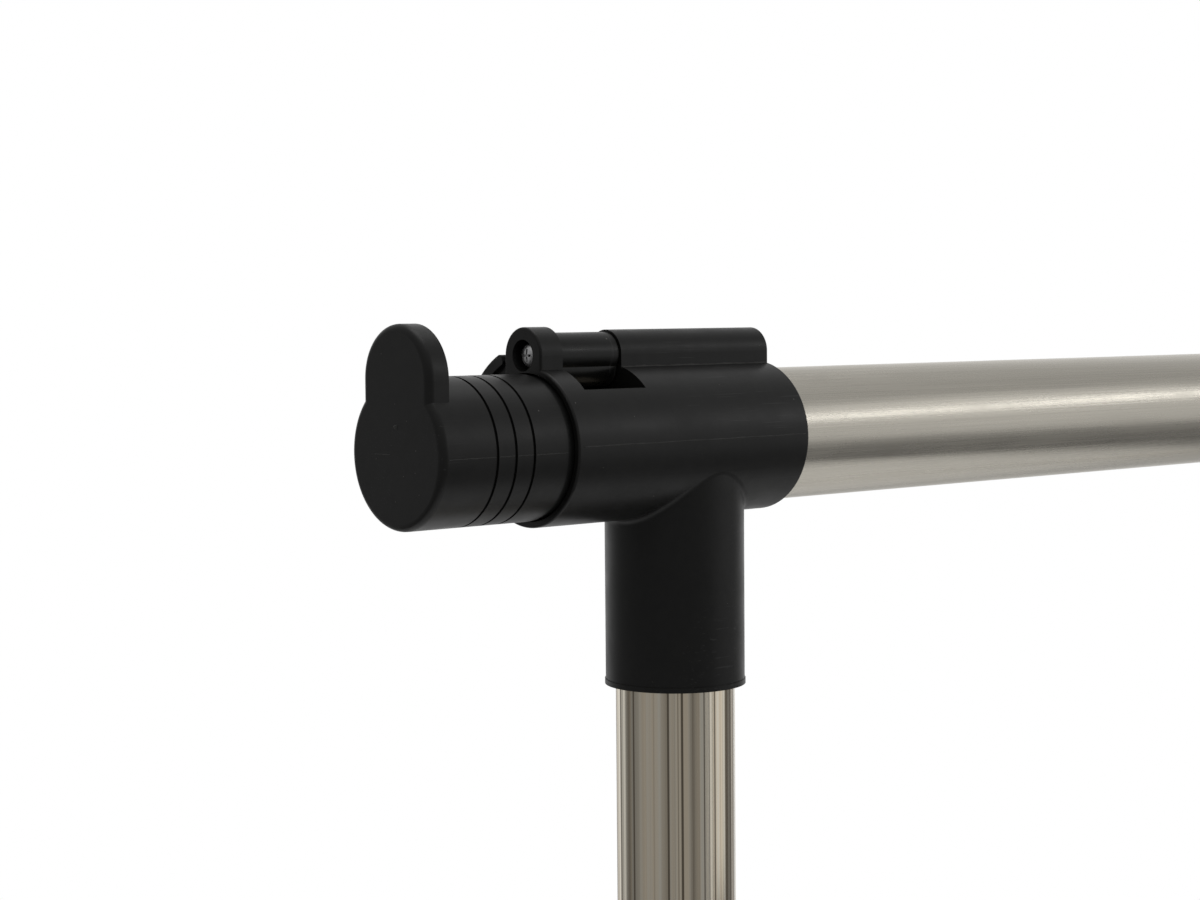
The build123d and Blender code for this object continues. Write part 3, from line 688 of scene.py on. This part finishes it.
def gate_stub(shape, place, radius, height):
    """Adds the broken stub where the plastic entered the mould, facing -X."""
    rings = []
    for share, rise in GATE_PROFILE:
        ring = []
        for step in range(GATE_STEPS):
            angle = math.tau * step / GATE_STEPS
            torn = 1.0 + 0.14 * math.sin(3.0 * angle + 0.4) + 0.08 * math.sin(7.0 * angle)
            reach = radius * share * torn
            lift = height * rise * (1.0 + 0.35 * math.sin(angle + 0.9))
            point = place + Vector((-lift, reach * math.cos(angle), reach * math.sin(angle)))
            ring.append(shape.verts.new(point))
        rings.append(ring)
    skin(shape, rings)


def finished(shape, matrix):
    """Moves a shape to its clamp and turns its faces outward."""
    shape.transform(matrix)
    bmesh.ops.recalc_face_normals(shape, faces=shape.faces)
    for face in shape.faces:
        face.smooth = True
    return shape


def fitting_marks(side, fitting, body):
    """The parting lines of one clamp, and the seam at the foot of its long hinge boss."""
    settings = bpy.context.scene.valet_mould
    radius = barrel_radius()
    mouth, tail = clamp_mouth(), settings.tail
    shape = bmesh.new()
    line_end, line_z = tail - LINE_FROM_TAIL, settings.line_offset
    parting_line(shape, radius, mouth + LINE_FROM_MOUTH, line_end, line_z, settings)
    parting_line(shape, radius, BACK_LINE_START, line_end, line_z, settings, side=1.0)
    foot_z = math.sqrt(radius ** 2 - settings.boss_foot ** 2)
    stations = (settings.boss_start, tail - SEAM_FROM_TAIL)
    start, end = (Vector((x, -settings.boss_foot, foot_z)) for x in stations)
    ridge(shape, start, end, Vector(SEAM_OUTWARD).normalized(), settings.line_width * settings.seam_size,
          settings.line_height * settings.seam_size)
    finished(shape, clamp_frame(side, fitting))
    # The lines and seam are real ridges; their lighter colour is painted highlight
    mesh_piece(f"{side}_{fitting}_mould_lines", shape, "flash_edge", body)


def cap_marks(side):
    """The end cap's parting lines between its grooves, its gate stub and a faint line on its face."""
    settings = bpy.context.scene.valet_mould
    low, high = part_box(f"{side}_arm_cap")
    radius = (high.y - low.y) / 2
    frame_of_tee = clamp_frame(side, "tee_fitting")
    face_x = (frame_of_tee.inverted() @ Vector((low.x if side == "left" else high.x, 0, 0))).x
    shape = bmesh.new()
    stations = [face_x + CAP_LINE_FROM_FACE]
    for groove in range(GROOVES):
        middle = settings.groove_first + groove * settings.groove_pitch
        stations += [middle - GROOVE_CLEARANCE, middle + GROOVE_CLEARANCE]
    stations.append(clamp_mouth() - CAP_LINE_FROM_MOUTH)
    for x0, x1 in zip(stations[0::2], stations[1::2]):
        for way in (-1.0, 1.0):
            parting_line(shape, radius, x0, x1, CAP_LINE_Z, settings, way, CAP_LINE_SIZE)
    gate_stub(shape, Vector((face_x, GATE_Y, GATE_Z)), settings.gate_radius, GATE_HEIGHT)
    start, end = (Vector((face_x, y, 0.0)) for y in FACE_LINE_Y)
    width, height = settings.line_width * FACE_LINE_SIZE[0], settings.line_height * FACE_LINE_SIZE[1]
    ridge(shape, start, end, Vector((-1.0, 0.0, 0.0)), width, height)
    finished(shape, frame_of_tee)
    # The lines and gate stub are real ridges; their lighter colour is painted highlight
    mesh_piece(f"{side}_cap_mould_lines", shape, "flash_edge", f"{side}_arm")


def socket_id(tree, name):
    """The identifier of a named input of a geometry tree."""
    for item in tree.interface.items_tree:
        if item.item_type == "SOCKET" and item.in_out == "INPUT" and item.name == name:
            return item.identifier
    raise KeyError(name)


class Tree:
    """A geometry tree with named inputs, built node by node."""

    def __init__(self, name, inputs):
        self.group = bpy.data.node_groups.new(name, "GeometryNodeTree")
        face = self.group.interface
        face.new_socket("Geometry", in_out="OUTPUT", socket_type="NodeSocketGeometry")
        face.new_socket("Geometry", in_out="INPUT", socket_type="NodeSocketGeometry")
        for label, kind in inputs:
            face.new_socket(label, in_out="INPUT", socket_type=kind)
        self.given = self.group.nodes.new("NodeGroupInput")
        self.result = self.group.nodes.new("NodeGroupOutput")
        self.add = node_adder(self.group)

    def end(self, geometry, material):
        """Makes the instances real and gives the result its material."""
        real = self.add("GeometryNodeRealizeInstances", [("Geometry", geometry)])
        dressed = self.add("GeometryNodeSetMaterial", [("Geometry", real.outputs[0]), ("Material", material)])
        self.group.links.new(dressed.outputs[0], self.result.inputs[0])


def grown(name, tree, values, points):
    """Evaluates a geometry tree on a carrier of (place, angles) points and returns the plain mesh."""
    carrier_mesh = bpy.data.meshes.new(name + "_carrier")
    carrier_mesh.from_pydata([place for place, _ in points], [], [])
    turn = carrier_mesh.attributes.new("turn", "FLOAT_VECTOR", "POINT")
    for index, (_, euler) in enumerate(points):
        turn.data[index].vector = euler
    carrier = bpy.data.objects.new(name + "_carrier", carrier_mesh)
    bpy.context.scene.collection.objects.link(carrier)
    modifier = carrier.modifiers.new("grow", "NODES")
    modifier.node_group = tree.group
    for label, value in values.items():
        modifier[socket_id(tree.group, label)] = value
    evaluated = carrier.evaluated_get(bpy.context.evaluated_depsgraph_get())
    mesh = bpy.data.meshes.new_from_object(evaluated)
    carrier.modifiers.remove(modifier)
    bpy.data.objects.remove(carrier)
    mesh.name = name
    return mesh


def instanced(tree, shape):
    """Places a shape on each of the carrier's points, turned by the point's own angles."""
    turn = tree.add("GeometryNodeInputNamedAttribute", [("Name", "turn")], data_type="FLOAT_VECTOR")
    turned = tree.add("FunctionNodeEulerToRotation", [("Euler", turn.outputs["Attribute"])])
    links = [("Points", tree.given.outputs["Geometry"]), ("Instance", shape), ("Rotation", turned.outputs[0])]
    return tree.add("GeometryNodeInstanceOnPoints", links).outputs["Instances"]


def creased(tree, geometry, angle):
    """Smooth shading, with sharp edges where faces meet at more than an angle."""
    smooth = tree.add("GeometryNodeSetShadeSmooth", [("Geometry", geometry)])
    edge = tree.add("GeometryNodeInputMeshEdgeAngle").outputs["Unsigned Angle"]
    sharp = tree.add("FunctionNodeCompare", [("A", edge), ("B", angle)], data_type="FLOAT",
                     operation="GREATER_THAN")
    links = [("Geometry", smooth.outputs[0]), ("Selection", sharp.outputs[0]), ("Shade Smooth", False)]
    return tree.add("GeometryNodeSetShadeSmooth", links, domain="EDGE").outputs[0]


def moved(tree, geometry, z=0.0, scale=(1.0, 1.0, 1.0)):
    """A shape scaled and moved along Z, by numbers or outputs."""
    place = tree.add("ShaderNodeCombineXYZ", [("Z", z)]).outputs[0]
    links = [("Geometry", geometry), ("Translation", place), ("Scale", scale)]
    return tree.add("GeometryNodeTransform", links).outputs[0]


def screw_tree():
    """Pan-head screws with a cross recess: the head stands on the point and the shank goes down from it."""
    inputs = (("Head Radius", "NodeSocketFloat"), ("Head Height", "NodeSocketFloat"),
              ("Shank Radius", "NodeSocketFloat"), ("Shank Length", "NodeSocketFloat"),
              ("Slot Width", "NodeSocketFloat"), ("Material", "NodeSocketMaterial"))
    tree = Tree("cross_head_screws", inputs)
    given = tree.given.outputs
    half = maths(tree.add, "MULTIPLY", given["Head Height"], 0.5)
    disc = tree.add("GeometryNodeMeshCylinder", [("Vertices", HEAD_FACES), ("Radius", given["Head Radius"]),
                                                 ("Depth", given["Head Height"])])
    disc = moved(tree, disc.outputs["Mesh"], z=half)
    ball = tree.add("GeometryNodeMeshUVSphere", [("Segments", HEAD_FACES), ("Rings", CROWN_RINGS),
                                                 ("Radius", 1.0)])
    wide = maths(tree.add, "MULTIPLY", given["Head Radius"], CROWN_WIDTH)
    tall = maths(tree.add, "MULTIPLY", given["Head Height"], CROWN_HEIGHT)
    crown = tree.add("ShaderNodeCombineXYZ", [("X", wide), ("Y", wide), ("Z", tall)]).outputs[0]
    ball = moved(tree, ball.outputs["Mesh"], scale=crown)
    head = tree.add("GeometryNodeMeshBoolean", [("Mesh 2", disc), ("Mesh 2", ball)], operation="INTERSECT")
    slots = []
    long = maths(tree.add, "MULTIPLY", given["Head Radius"], SLOT_LENGTH)
    for size in ((long, given["Slot Width"]), (given["Slot Width"], long)):
        box = tree.add("ShaderNodeCombineXYZ", [("X", size[0]), ("Y", size[1]), ("Z", given["Head Height"])])
        cut = tree.add("GeometryNodeMeshCube", [("Size", box.outputs[0])])
        slots.append(moved(tree, cut.outputs["Mesh"], z=given["Head Height"]))
    links = [("Mesh 1", head.outputs["Mesh"]), ("Mesh 2", slots[0]), ("Mesh 2", slots[1])]
    recessed = tree.add("GeometryNodeMeshBoolean", links, operation="DIFFERENCE")
    down = maths(tree.add, "MULTIPLY", given["Shank Length"], -0.5)
    shank = tree.add("GeometryNodeMeshCylinder", [("Vertices", SHANK_FACES),
                                                  ("Radius", given["Shank Radius"]),
                                                  ("Depth", given["Shank Length"])])
    shank = moved(tree, shank.outputs["Mesh"], z=down)
    links = [("Geometry", recessed.outputs["Mesh"]), ("Geometry", shank)]
    whole = tree.add("GeometryNodeJoinGeometry", links).outputs[0]
    tree.end(instanced(tree, creased(tree, whole, SCREW_CREASE)), given["Material"])
    return tree


def spoke_tree():
    """Ribs in a ring, lying outward from the point: the spokes in a wheel's dish."""
    inputs = (("Count", "NodeSocketInt"), ("Ring Radius", "NodeSocketFloat"), ("Length", "NodeSocketFloat"),
              ("Width", "NodeSocketFloat"), ("Height", "NodeSocketFloat"), ("Material", "NodeSocketMaterial"))
    tree = Tree("wheel_spokes", inputs)
    given = tree.given.outputs
    circle = tree.add("GeometryNodeMeshCircle", [("Vertices", given["Count"]),
                                                 ("Radius", given["Ring Radius"])])
    size = tree.add("ShaderNodeCombineXYZ", [("X", given["Length"]), ("Y", given["Width"]),
                                             ("Z", given["Height"])])
    bar = tree.add("GeometryNodeMeshCube", [("Size", size.outputs[0])])
    step = maths(tree.add, "DIVIDE", math.tau, given["Count"])
    angle = maths(tree.add, "MULTIPLY", tree.add("GeometryNodeInputIndex").outputs[0], step)
    euler = tree.add("ShaderNodeCombineXYZ", [("Z", angle)]).outputs[0]
    spun = tree.add("FunctionNodeEulerToRotation", [("Euler", euler)])
    links = [("Points", circle.outputs["Mesh"]), ("Instance", bar.outputs["Mesh"]),
             ("Rotation", spun.outputs[0])]
    ring = tree.add("GeometryNodeInstanceOnPoints", links).outputs["Instances"]
    ring = tree.add("GeometryNodeRealizeInstances", [("Geometry", ring)]).outputs[0]
    tree.end(instanced(tree, ring), given["Material"])
    return tree


def rib_tree():
    """Round ribs along the points' own Z: the finger grip of a lever."""
    inputs = (("Radius", "NodeSocketFloat"), ("Length", "NodeSocketFloat"),
              ("Material", "NodeSocketMaterial"))
    tree = Tree("grip_ribs", inputs)
    given = tree.given.outputs
    bar = tree.add("GeometryNodeMeshCylinder", [("Vertices", RIB_FACES), ("Radius", given["Radius"]),
                                                ("Depth", given["Length"])])
    tree.end(instanced(tree, creased(tree, bar.outputs["Mesh"], RIB_CREASE)), given["Material"])
    return tree


def aimed(direction):
    """The angles that turn +Z to a direction."""
    return tuple(Vector(direction).to_track_quat("Z", "Y").to_euler())


def screws(name, places, sizes, body, nodes):
    """One piece of screws from (place, outward) pairs, in place of CAD screws."""
    values = dict(zip(("Head Radius", "Head Height", "Shank Radius", "Shank Length", "Slot Width"), sizes))
    values["Material"] = finish("plated_steel")
    points = [(tuple(place), aimed(outward)) for place, outward in places]
    keep(name, grown(name, screw_tree(), values, points), "plated_steel", body, nodes)


# Operators

class VALET_OT_tubes(bpy.types.Operator):
    """Turn the stainless tubes"""

    bl_idname = "valet.tubes"
    bl_label = "Tubes"

    def execute(self, context):
        for node, axis, body in WIDE_TUBES:
            add_tube(node, axis, body, "satin_steel")
        for node, axis, body in BRIGHT_TUBES:
            add_tube(node, axis, body, "bright_steel")
        return {"FINISHED"}


class VALET_OT_fittings(bpy.types.Operator):
    """Finish the moulded fittings, screws, stems and glides"""

    bl_idname = "valet.fittings"
    bl_label = "Fittings"

    def execute(self, context):
        for node in PLASTIC_NODES:
            dress(node, "rubbed_black" if node.endswith("lever") else "moulded_black")
        for node in STEEL_NODES:
            dress(node, "plated_steel")
        for node in GLIDE_NODES:
            dress(node, "moulded_natural")
        for corner in CORNERS:
            dress(f"{corner}_castor_wheels", "moulded_wheel")
        return {"FINISHED"}


class VALET_OT_mould_marks(bpy.types.Operator):
    """Add the parting lines, seams and gate stubs"""

    bl_idname = "valet.mould_marks"
    bl_label = "Mould marks"

    def execute(self, context):
        for side in SIDES:
            fitting_marks(side, "tee_fitting", "top")
            fitting_marks(side, "height_clamp", "base")
            cap_marks(side)
        return {"FINISHED"}


class VALET_OT_hinge_screws(bpy.types.Operator):
    """Make the screws that the levers turn on"""

    bl_idname = "valet.hinge_screws"
    bl_label = "Hinge screws"

    def execute(self, context):
        settings = context.scene.valet_screws
        sizes = (settings.head_radius, settings.head_height, settings.shank_radius, settings.shank_length,
                 settings.slot_width)
        under_head = Vector((clamp_mouth() + settings.sunk + settings.head_height, settings.hinge_y,
                             settings.hinge_z))
        for fitting, body, node in (("tee_fitting", "top", "tee_hinge_screws"),
                                    ("height_clamp", "base", "height_hinge_screws")):
            places = []
            for side in SIDES:
                clamp = clamp_frame(side, fitting)
                places.append((clamp @ under_head, clamp.to_3x3() @ Vector((-1.0, 0.0, 0.0))))
            screws(f"{node}_finished", places, sizes, body, [node])
        return {"FINISHED"}


class VALET_OT_spokes(bpy.types.Operator):
    """Add the spokes in the castor wheels' dishes"""

    bl_idname = "valet.spokes"
    bl_label = "Wheel spokes"

    def execute(self, context):
        settings = context.scene.valet_castors
        for corner in CORNERS:
            low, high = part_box(f"{corner}_castor_wheels")
            middle = (low + high) / 2
            depth = settings.dish_depth - settings.spoke_height / 2
            points = [((middle.x, high.y - depth, middle.z), aimed((0, 1, 0))),
                      ((middle.x, low.y + depth, middle.z), aimed((0, -1, 0)))]
            length = settings.dish_radius - settings.hub_radius
            values = {"Count": settings.spokes, "Ring Radius": settings.hub_radius + length / 2,
                      "Length": length, "Width": settings.spoke_width, "Height": settings.spoke_height,
                      "Material": finish("moulded_wheel")}
            name = f"{corner}_castor_spokes"
            keep(name, grown(name, spoke_tree(), values, points), "moulded_wheel", f"{corner}_castor_wheels")
        return {"FINISHED"}


class VALET_OT_grips(bpy.types.Operator):
    """Add the finger grips on the cam levers"""

    bl_idname = "valet.grips"
    bl_label = "Lever grips"

    def execute(self, context):
        settings = context.scene.valet_levers
        for side in SIDES:
            for fitting, lever in (("tee_fitting", "tee_lever"), ("height_clamp", "height_lever")):
                clamp = clamp_frame(side, fitting)
                along = clamp.to_3x3() @ Vector((1.0, 0.0, 0.0))
                points = []
                for rib in range(settings.ribs):
                    angle = settings.first_rib + rib * settings.rib_step
                    place = Vector((settings.middle, settings.radius * math.cos(angle),
                                    settings.radius * math.sin(angle)))
                    points.append((tuple(clamp @ place), aimed(along)))
                values = {"Radius": settings.rib_radius, "Length": settings.rib_length,
                          "Material": finish("rubbed_black")}
                name = f"{side}_{lever}_grip"
                keep(name, grown(name, rib_tree(), values, points), "rubbed_black", f"{side}_{lever}")
        return {"FINISHED"}


# The stage

def dot(add, where, direction):
    """How far a direction points along another, as a value output."""
    return add("ShaderNodeVectorMath", [(0, where), (1, direction)], operation="DOT_PRODUCT").outputs["Value"]


def studio_world(yaw, backdrop, ceiling, near_side):
    """A plain soft room with a pale backdrop, a ceiling and a dimmer near side; the camera sees it white."""
    world = bpy.data.worlds.new("studio")
    bpy.context.scene.world = world
    world.use_nodes = True
    tree = world.node_tree
    tree.nodes.clear()
    add = node_adder(tree)
    where = add("ShaderNodeTexCoord").outputs["Generated"]
    toward = dot(add, where, (-math.sin(yaw), -math.cos(yaw), 0.0))
    height = add("ShaderNodeSeparateXYZ", [("Vector", where)]).outputs["Z"]
    walls = maths(add, "MULTIPLY", spread(add, toward, BACKDROP_EDGE, (backdrop, near_side)),
                  spread(add, height, LOW_ROOM, LOW_ROOM_LIGHT))
    room = blend_colour(add, spread(add, height, CEILING_EDGE), walls, (ceiling, ceiling, ceiling))
    light = add("ShaderNodeBackground", [("Color", room), ("Strength", 1.0)])
    plain = add("ShaderNodeBackground", [("Color", (1.0, 1.0, 1.0, 1.0)), ("Strength", 1.0)])
    sight = add("ShaderNodeLightPath").outputs["Is Camera Ray"]
    mixed = add("ShaderNodeMixShader", [(0, sight), (1, light.outputs[0]), (2, plain.outputs[0])])
    add("ShaderNodeOutputWorld", [("Surface", mixed.outputs[0])])


def add_floor(radius):
    """A plain pale round floor."""
    shape = bmesh.new()
    bmesh.ops.create_circle(shape, cap_ends=True, segments=128, radius=radius)
    mesh = bpy.data.meshes.new("floor")
    shape.to_mesh(mesh)
    shape.free()
    floor = bpy.data.objects.new("floor", mesh)
    bpy.context.scene.collection.objects.link(floor)
    made, tree, shader, add = new_material("pale_floor")
    where = add("ShaderNodeTexCoord").outputs["Object"]
    tone = ramp(add, noise(add, where, scale=3.0, detail=3.0), FLOOR_TONES)
    tree.links.new(tone, shader.inputs["Base Color"])
    shader.inputs["Roughness"].default_value = 0.7
    shader.inputs["Emission Color"].default_value = (1.0, 1.0, 1.0, 1.0)
    shader.inputs["Emission Strength"].default_value = FLOOR_GLOW
    mesh.materials.append(made)


def add_area(name, place, target, width, height, power):
    """A softbox that faces a target."""
    data = bpy.data.lights.new(name, "AREA")
    data.shape = "RECTANGLE"
    data.size = width
    data.size_y = height
    data.energy = power
    light = bpy.data.objects.new(name, data)
    bpy.context.scene.collection.objects.link(light)
    light.location = place
    light.rotation_euler = (Vector(target) - Vector(place)).to_track_quat("-Z", "Y").to_euler()


def add_camera(settings, centre):
    """The camera, from its place beside the left tee and its three angles."""
    forward = Vector((math.sin(settings.yaw) * math.cos(settings.pitch),
                      math.cos(settings.yaw) * math.cos(settings.pitch), math.sin(settings.pitch)))
    level = Vector((math.cos(settings.yaw), -math.sin(settings.yaw), 0.0))
    above = level.cross(forward)
    right = level * math.cos(settings.roll) + above * math.sin(settings.roll)
    up = above * math.cos(settings.roll) - level * math.sin(settings.roll)
    data = bpy.data.cameras.new("camera")
    data.sensor_fit = "HORIZONTAL"
    data.sensor_width = 36.0
    data.lens = settings.lens
    data.clip_start = 0.02
    data.clip_end = 60.0
    camera = bpy.data.objects.new("camera", data)
    bpy.context.scene.collection.objects.link(camera)
    turned = Matrix((right, up, -forward)).transposed().to_4x4()
    camera.matrix_world = Matrix.Translation(centre + Vector(settings.place)) @ turned
    bpy.context.scene.camera = camera


def tee_centre():
    """Where the rail's axis crosses the left post's."""
    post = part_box("left_upper_post")
    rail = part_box("rail_tube")
    return Vector(((post[0].x + post[1].x) / 2, (post[0].y + post[1].y) / 2, (rail[0].z + rail[1].z) / 2))


class VALET_OT_stage(bpy.types.Operator):
    """Set up the camera, the floor and the light"""

    bl_idname = "valet.stage"
    bl_label = "Stage"

    def execute(self, context):
        settings = context.scene.valet_stage
        centre = tee_centre()
        add_camera(settings, centre)
        add_floor(settings.floor_radius)
        studio_world(settings.yaw, settings.backdrop, settings.ceiling, settings.near_side)
        away = Vector((math.sin(settings.yaw), math.cos(settings.yaw), 0.0))
        across = Vector((math.cos(settings.yaw), -math.sin(settings.yaw), 0.0))
        above = Vector((0.0, 0.0, 1.0))
        for name, place, width, height, power in SOFTBOXES:
            offset = above * place[2] + across * place[0] + away * place[1]
            add_area(name, centre + offset, centre, width, height, power)
        context.scene.view_settings.view_transform = "Standard"
        return {"FINISHED"}


class VALET_PT_panel(bpy.types.Panel):
    """The valet stand's builders"""

    bl_idname = "VALET_PT_panel"
    bl_label = "Valet Stand"
    bl_space_type = "VIEW_3D"
    bl_region_type = "UI"
    bl_category = "Valet Stand"

    def draw(self, context):
        for operator in OPERATORS:
            self.layout.operator(operator.bl_idname)
        for group, _ in GROUPS:
            box = self.layout.box()
            settings = getattr(context.scene, group)
            for name in settings.bl_rna.properties.keys():
                if name not in ("rna_type", "name"):
                    box.prop(settings, name)


OPERATORS = (VALET_OT_tubes, VALET_OT_fittings, VALET_OT_mould_marks, VALET_OT_hinge_screws, VALET_OT_spokes,
             VALET_OT_grips, VALET_OT_stage)
GROUPS = (("valet_tubes", TubeSettings), ("valet_plastic", PlasticSettings),
          ("valet_mould", MouldSettings), ("valet_screws", ScrewSettings), ("valet_castors", CastorSettings),
          ("valet_levers", LeverSettings), ("valet_stage", StageSettings))


def register():
    """Adds the settings, operators and panel."""
    for name, group in GROUPS:
        bpy.utils.register_class(group)
        setattr(bpy.types.Scene, name, PointerProperty(type=group))
    for operator in OPERATORS:
        bpy.utils.register_class(operator)
    bpy.utils.register_class(VALET_PT_panel)


def unregister():
    """Removes what register added."""
    bpy.utils.unregister_class(VALET_PT_panel)
    for operator in reversed(OPERATORS):
        bpy.utils.unregister_class(operator)
    for name, group in reversed(GROUPS):
        delattr(bpy.types.Scene, name)
        bpy.utils.unregister_class(group)


def main():
    """Builds every piece in order."""
    register()
    for operator in OPERATORS:
        group, name = operator.bl_idname.split(".")
        getattr(getattr(bpy.ops, group), name)()
    bpy.context.view_layer.update()


if __name__ == "__main__":
    main()
